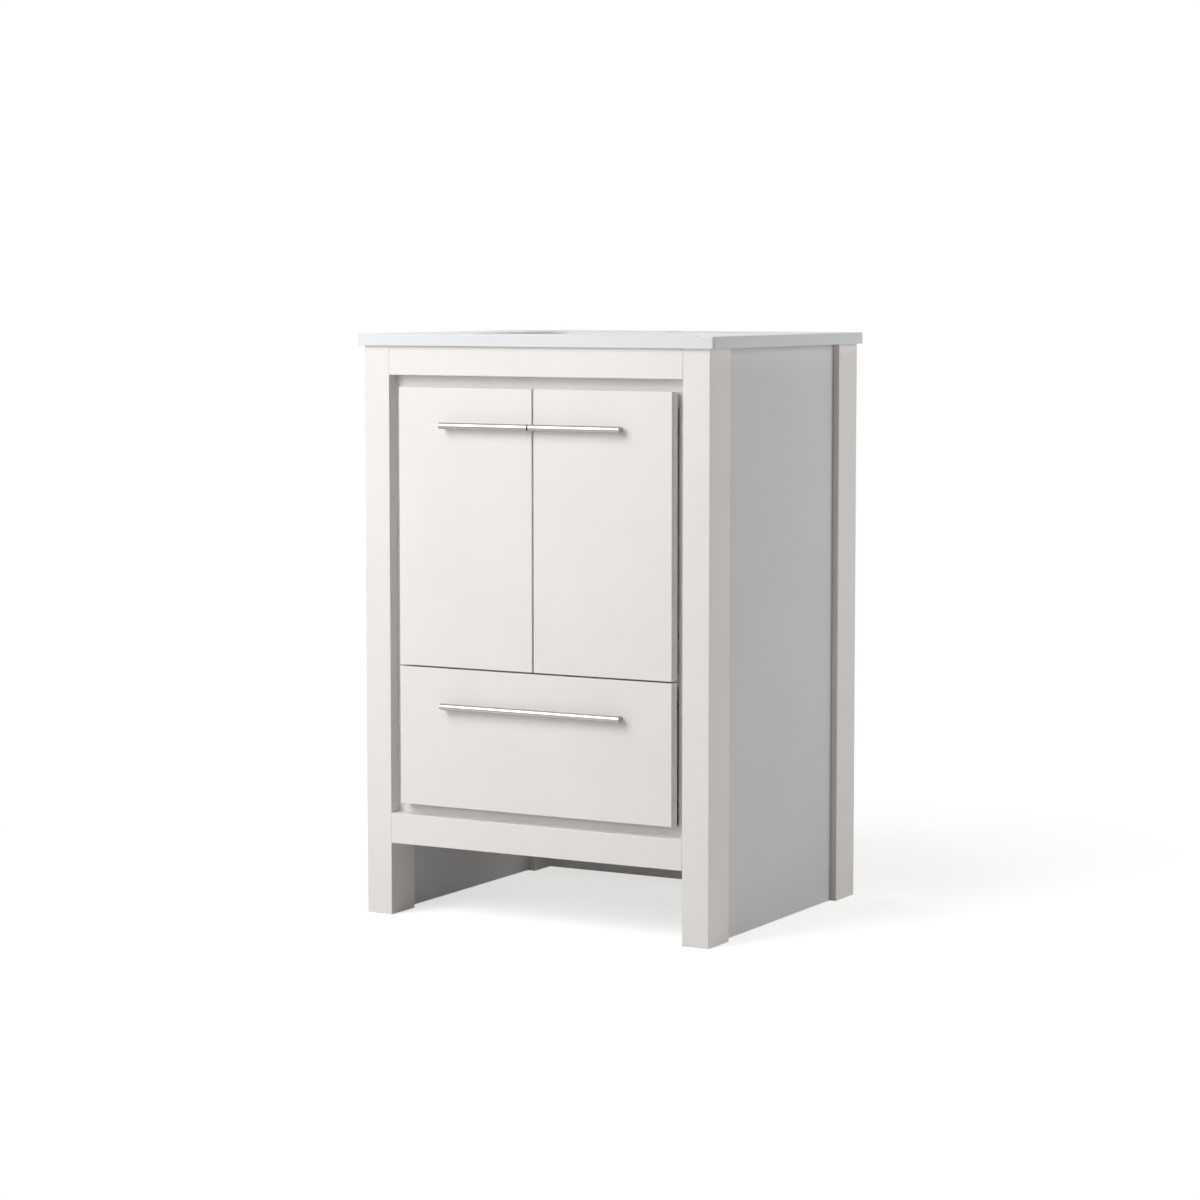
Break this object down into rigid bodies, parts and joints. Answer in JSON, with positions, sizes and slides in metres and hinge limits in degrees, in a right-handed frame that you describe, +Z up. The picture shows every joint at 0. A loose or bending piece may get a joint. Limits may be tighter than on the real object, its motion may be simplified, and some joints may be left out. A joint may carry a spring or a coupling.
{
  "type": "bathroom vanity cabinet",
  "caption": "Free-standing bathroom vanity with a ceramic sink top, a cupboard behind hinged doors with bar handles, and a drawer below.",
  "frame": {"origin": "on the floor, under the middle of the object's overall box, bar handles included", "axes": "+X to the right seen from the front, +Y towards the wall, +Z up"},
  "size_m": [0.6096, 0.519, 0.889],
  "materials": {
    "painted_wood": "satin off-white paint",
    "raw_wood": "bare beech",
    "drawer_board": "clear-lacquered birch board",
    "back_board": "white-faced hardboard",
    "ceramic": "gloss white glaze",
    "handle_metal": "satin nickel plate",
    "hinge_steel": "nickel-plated steel",
    "slide_steel": "zinc-plated steel",
    "screw_steel": "zinc-plated steel",
    "cage_plastic": "black moulded plastic",
    "bumper_rubber": "clear soft rubber"
  },
  "bodies": {
    "cabinet": {"sink_top": "ceramic", "front_left_leg": "painted_wood", "front_right_leg": "painted_wood", "rear_left_leg": "painted_wood", "rear_right_leg": "painted_wood", "left_side_panel": "painted_wood", "right_side_panel": "painted_wood", "front_top_rail": "painted_wood", "front_bottom_rail": "painted_wood", "rear_top_rail": "painted_wood", "rear_bottom_rail": "painted_wood", "left_carcass_side": "painted_wood", "right_carcass_side": "painted_wood", "carcass_stretcher": "painted_wood", "divider_shelf": "painted_wood", "bottom_deck": "painted_wood", "back_panel": "back_board", "corner_blocks": "raw_wood", "frame_dowels": "raw_wood", "carcass_dowels": "raw_wood", "carcass_screws": "screw_steel", "hardware_screws": "screw_steel", "hinge_plates": "hinge_steel", "hinge_arms": "hinge_steel", "left_cabinet_slide": "slide_steel", "right_cabinet_slide": "slide_steel"},
    "left_door": {"left_door": "painted_wood", "left_hinge_cups": "hinge_steel", "left_hinge_pins": "hinge_steel", "left_cup_screws": "screw_steel", "left_door_handle": "handle_metal", "left_handle_posts": "handle_metal", "left_handle_screws": "screw_steel", "left_door_bumpers": "bumper_rubber"},
    "right_door": {"right_door": "painted_wood", "right_hinge_cups": "hinge_steel", "right_hinge_pins": "hinge_steel", "right_cup_screws": "screw_steel", "right_door_handle": "handle_metal", "right_handle_posts": "handle_metal", "right_handle_screws": "screw_steel", "right_door_bumpers": "bumper_rubber"},
    "drawer": {"drawer_front": "painted_wood", "drawer_inner_front": "drawer_board", "drawer_left_side": "drawer_board", "drawer_right_side": "drawer_board", "drawer_back": "drawer_board", "drawer_bottom": "drawer_board", "drawer_handle": "handle_metal", "drawer_handle_posts": "handle_metal", "drawer_handle_screws": "screw_steel", "drawer_screws": "screw_steel", "drawer_dowels": "raw_wood", "drawer_bumpers": "bumper_rubber", "left_drawer_slide": "slide_steel", "right_drawer_slide": "slide_steel"},
    "left_slide_middle": {"left_middle_slide": "slide_steel", "left_ball_cages": "cage_plastic"},
    "right_slide_middle": {"right_middle_slide": "slide_steel", "right_ball_cages": "cage_plastic"}
  },
  "joints": [
    {"name": "left_door_hinge", "type": "hinge", "parent": "cabinet", "child": "left_door", "pos_m": [-0.2262, -0.2325, 0.598], "axis": [0, 0, -1], "range_deg": [0, 100]},
    {"name": "right_door_hinge", "type": "hinge", "parent": "cabinet", "child": "right_door", "pos_m": [0.2262, -0.2325, 0.598], "axis": [0, 0, 1], "range_deg": [0, 100]},
    {"name": "drawer_slide", "type": "slide", "parent": "cabinet", "child": "drawer", "axis": [0, -1, 0], "range_m": [0, 0.38]},
    {"name": "left_slide_extension", "type": "slide", "parent": "cabinet", "child": "left_slide_middle", "axis": [0, -1, 0], "range_m": [0, 0.19]},
    {"name": "right_slide_extension", "type": "slide", "parent": "cabinet", "child": "right_slide_middle", "axis": [0, -1, 0], "range_m": [0, 0.19]}
  ],
  "couplings": [
    {"joint": "left_slide_extension", "follows": "drawer_slide", "ratio": 0.5},
    {"joint": "right_slide_extension", "follows": "drawer_slide", "ratio": 0.5}
  ]
}
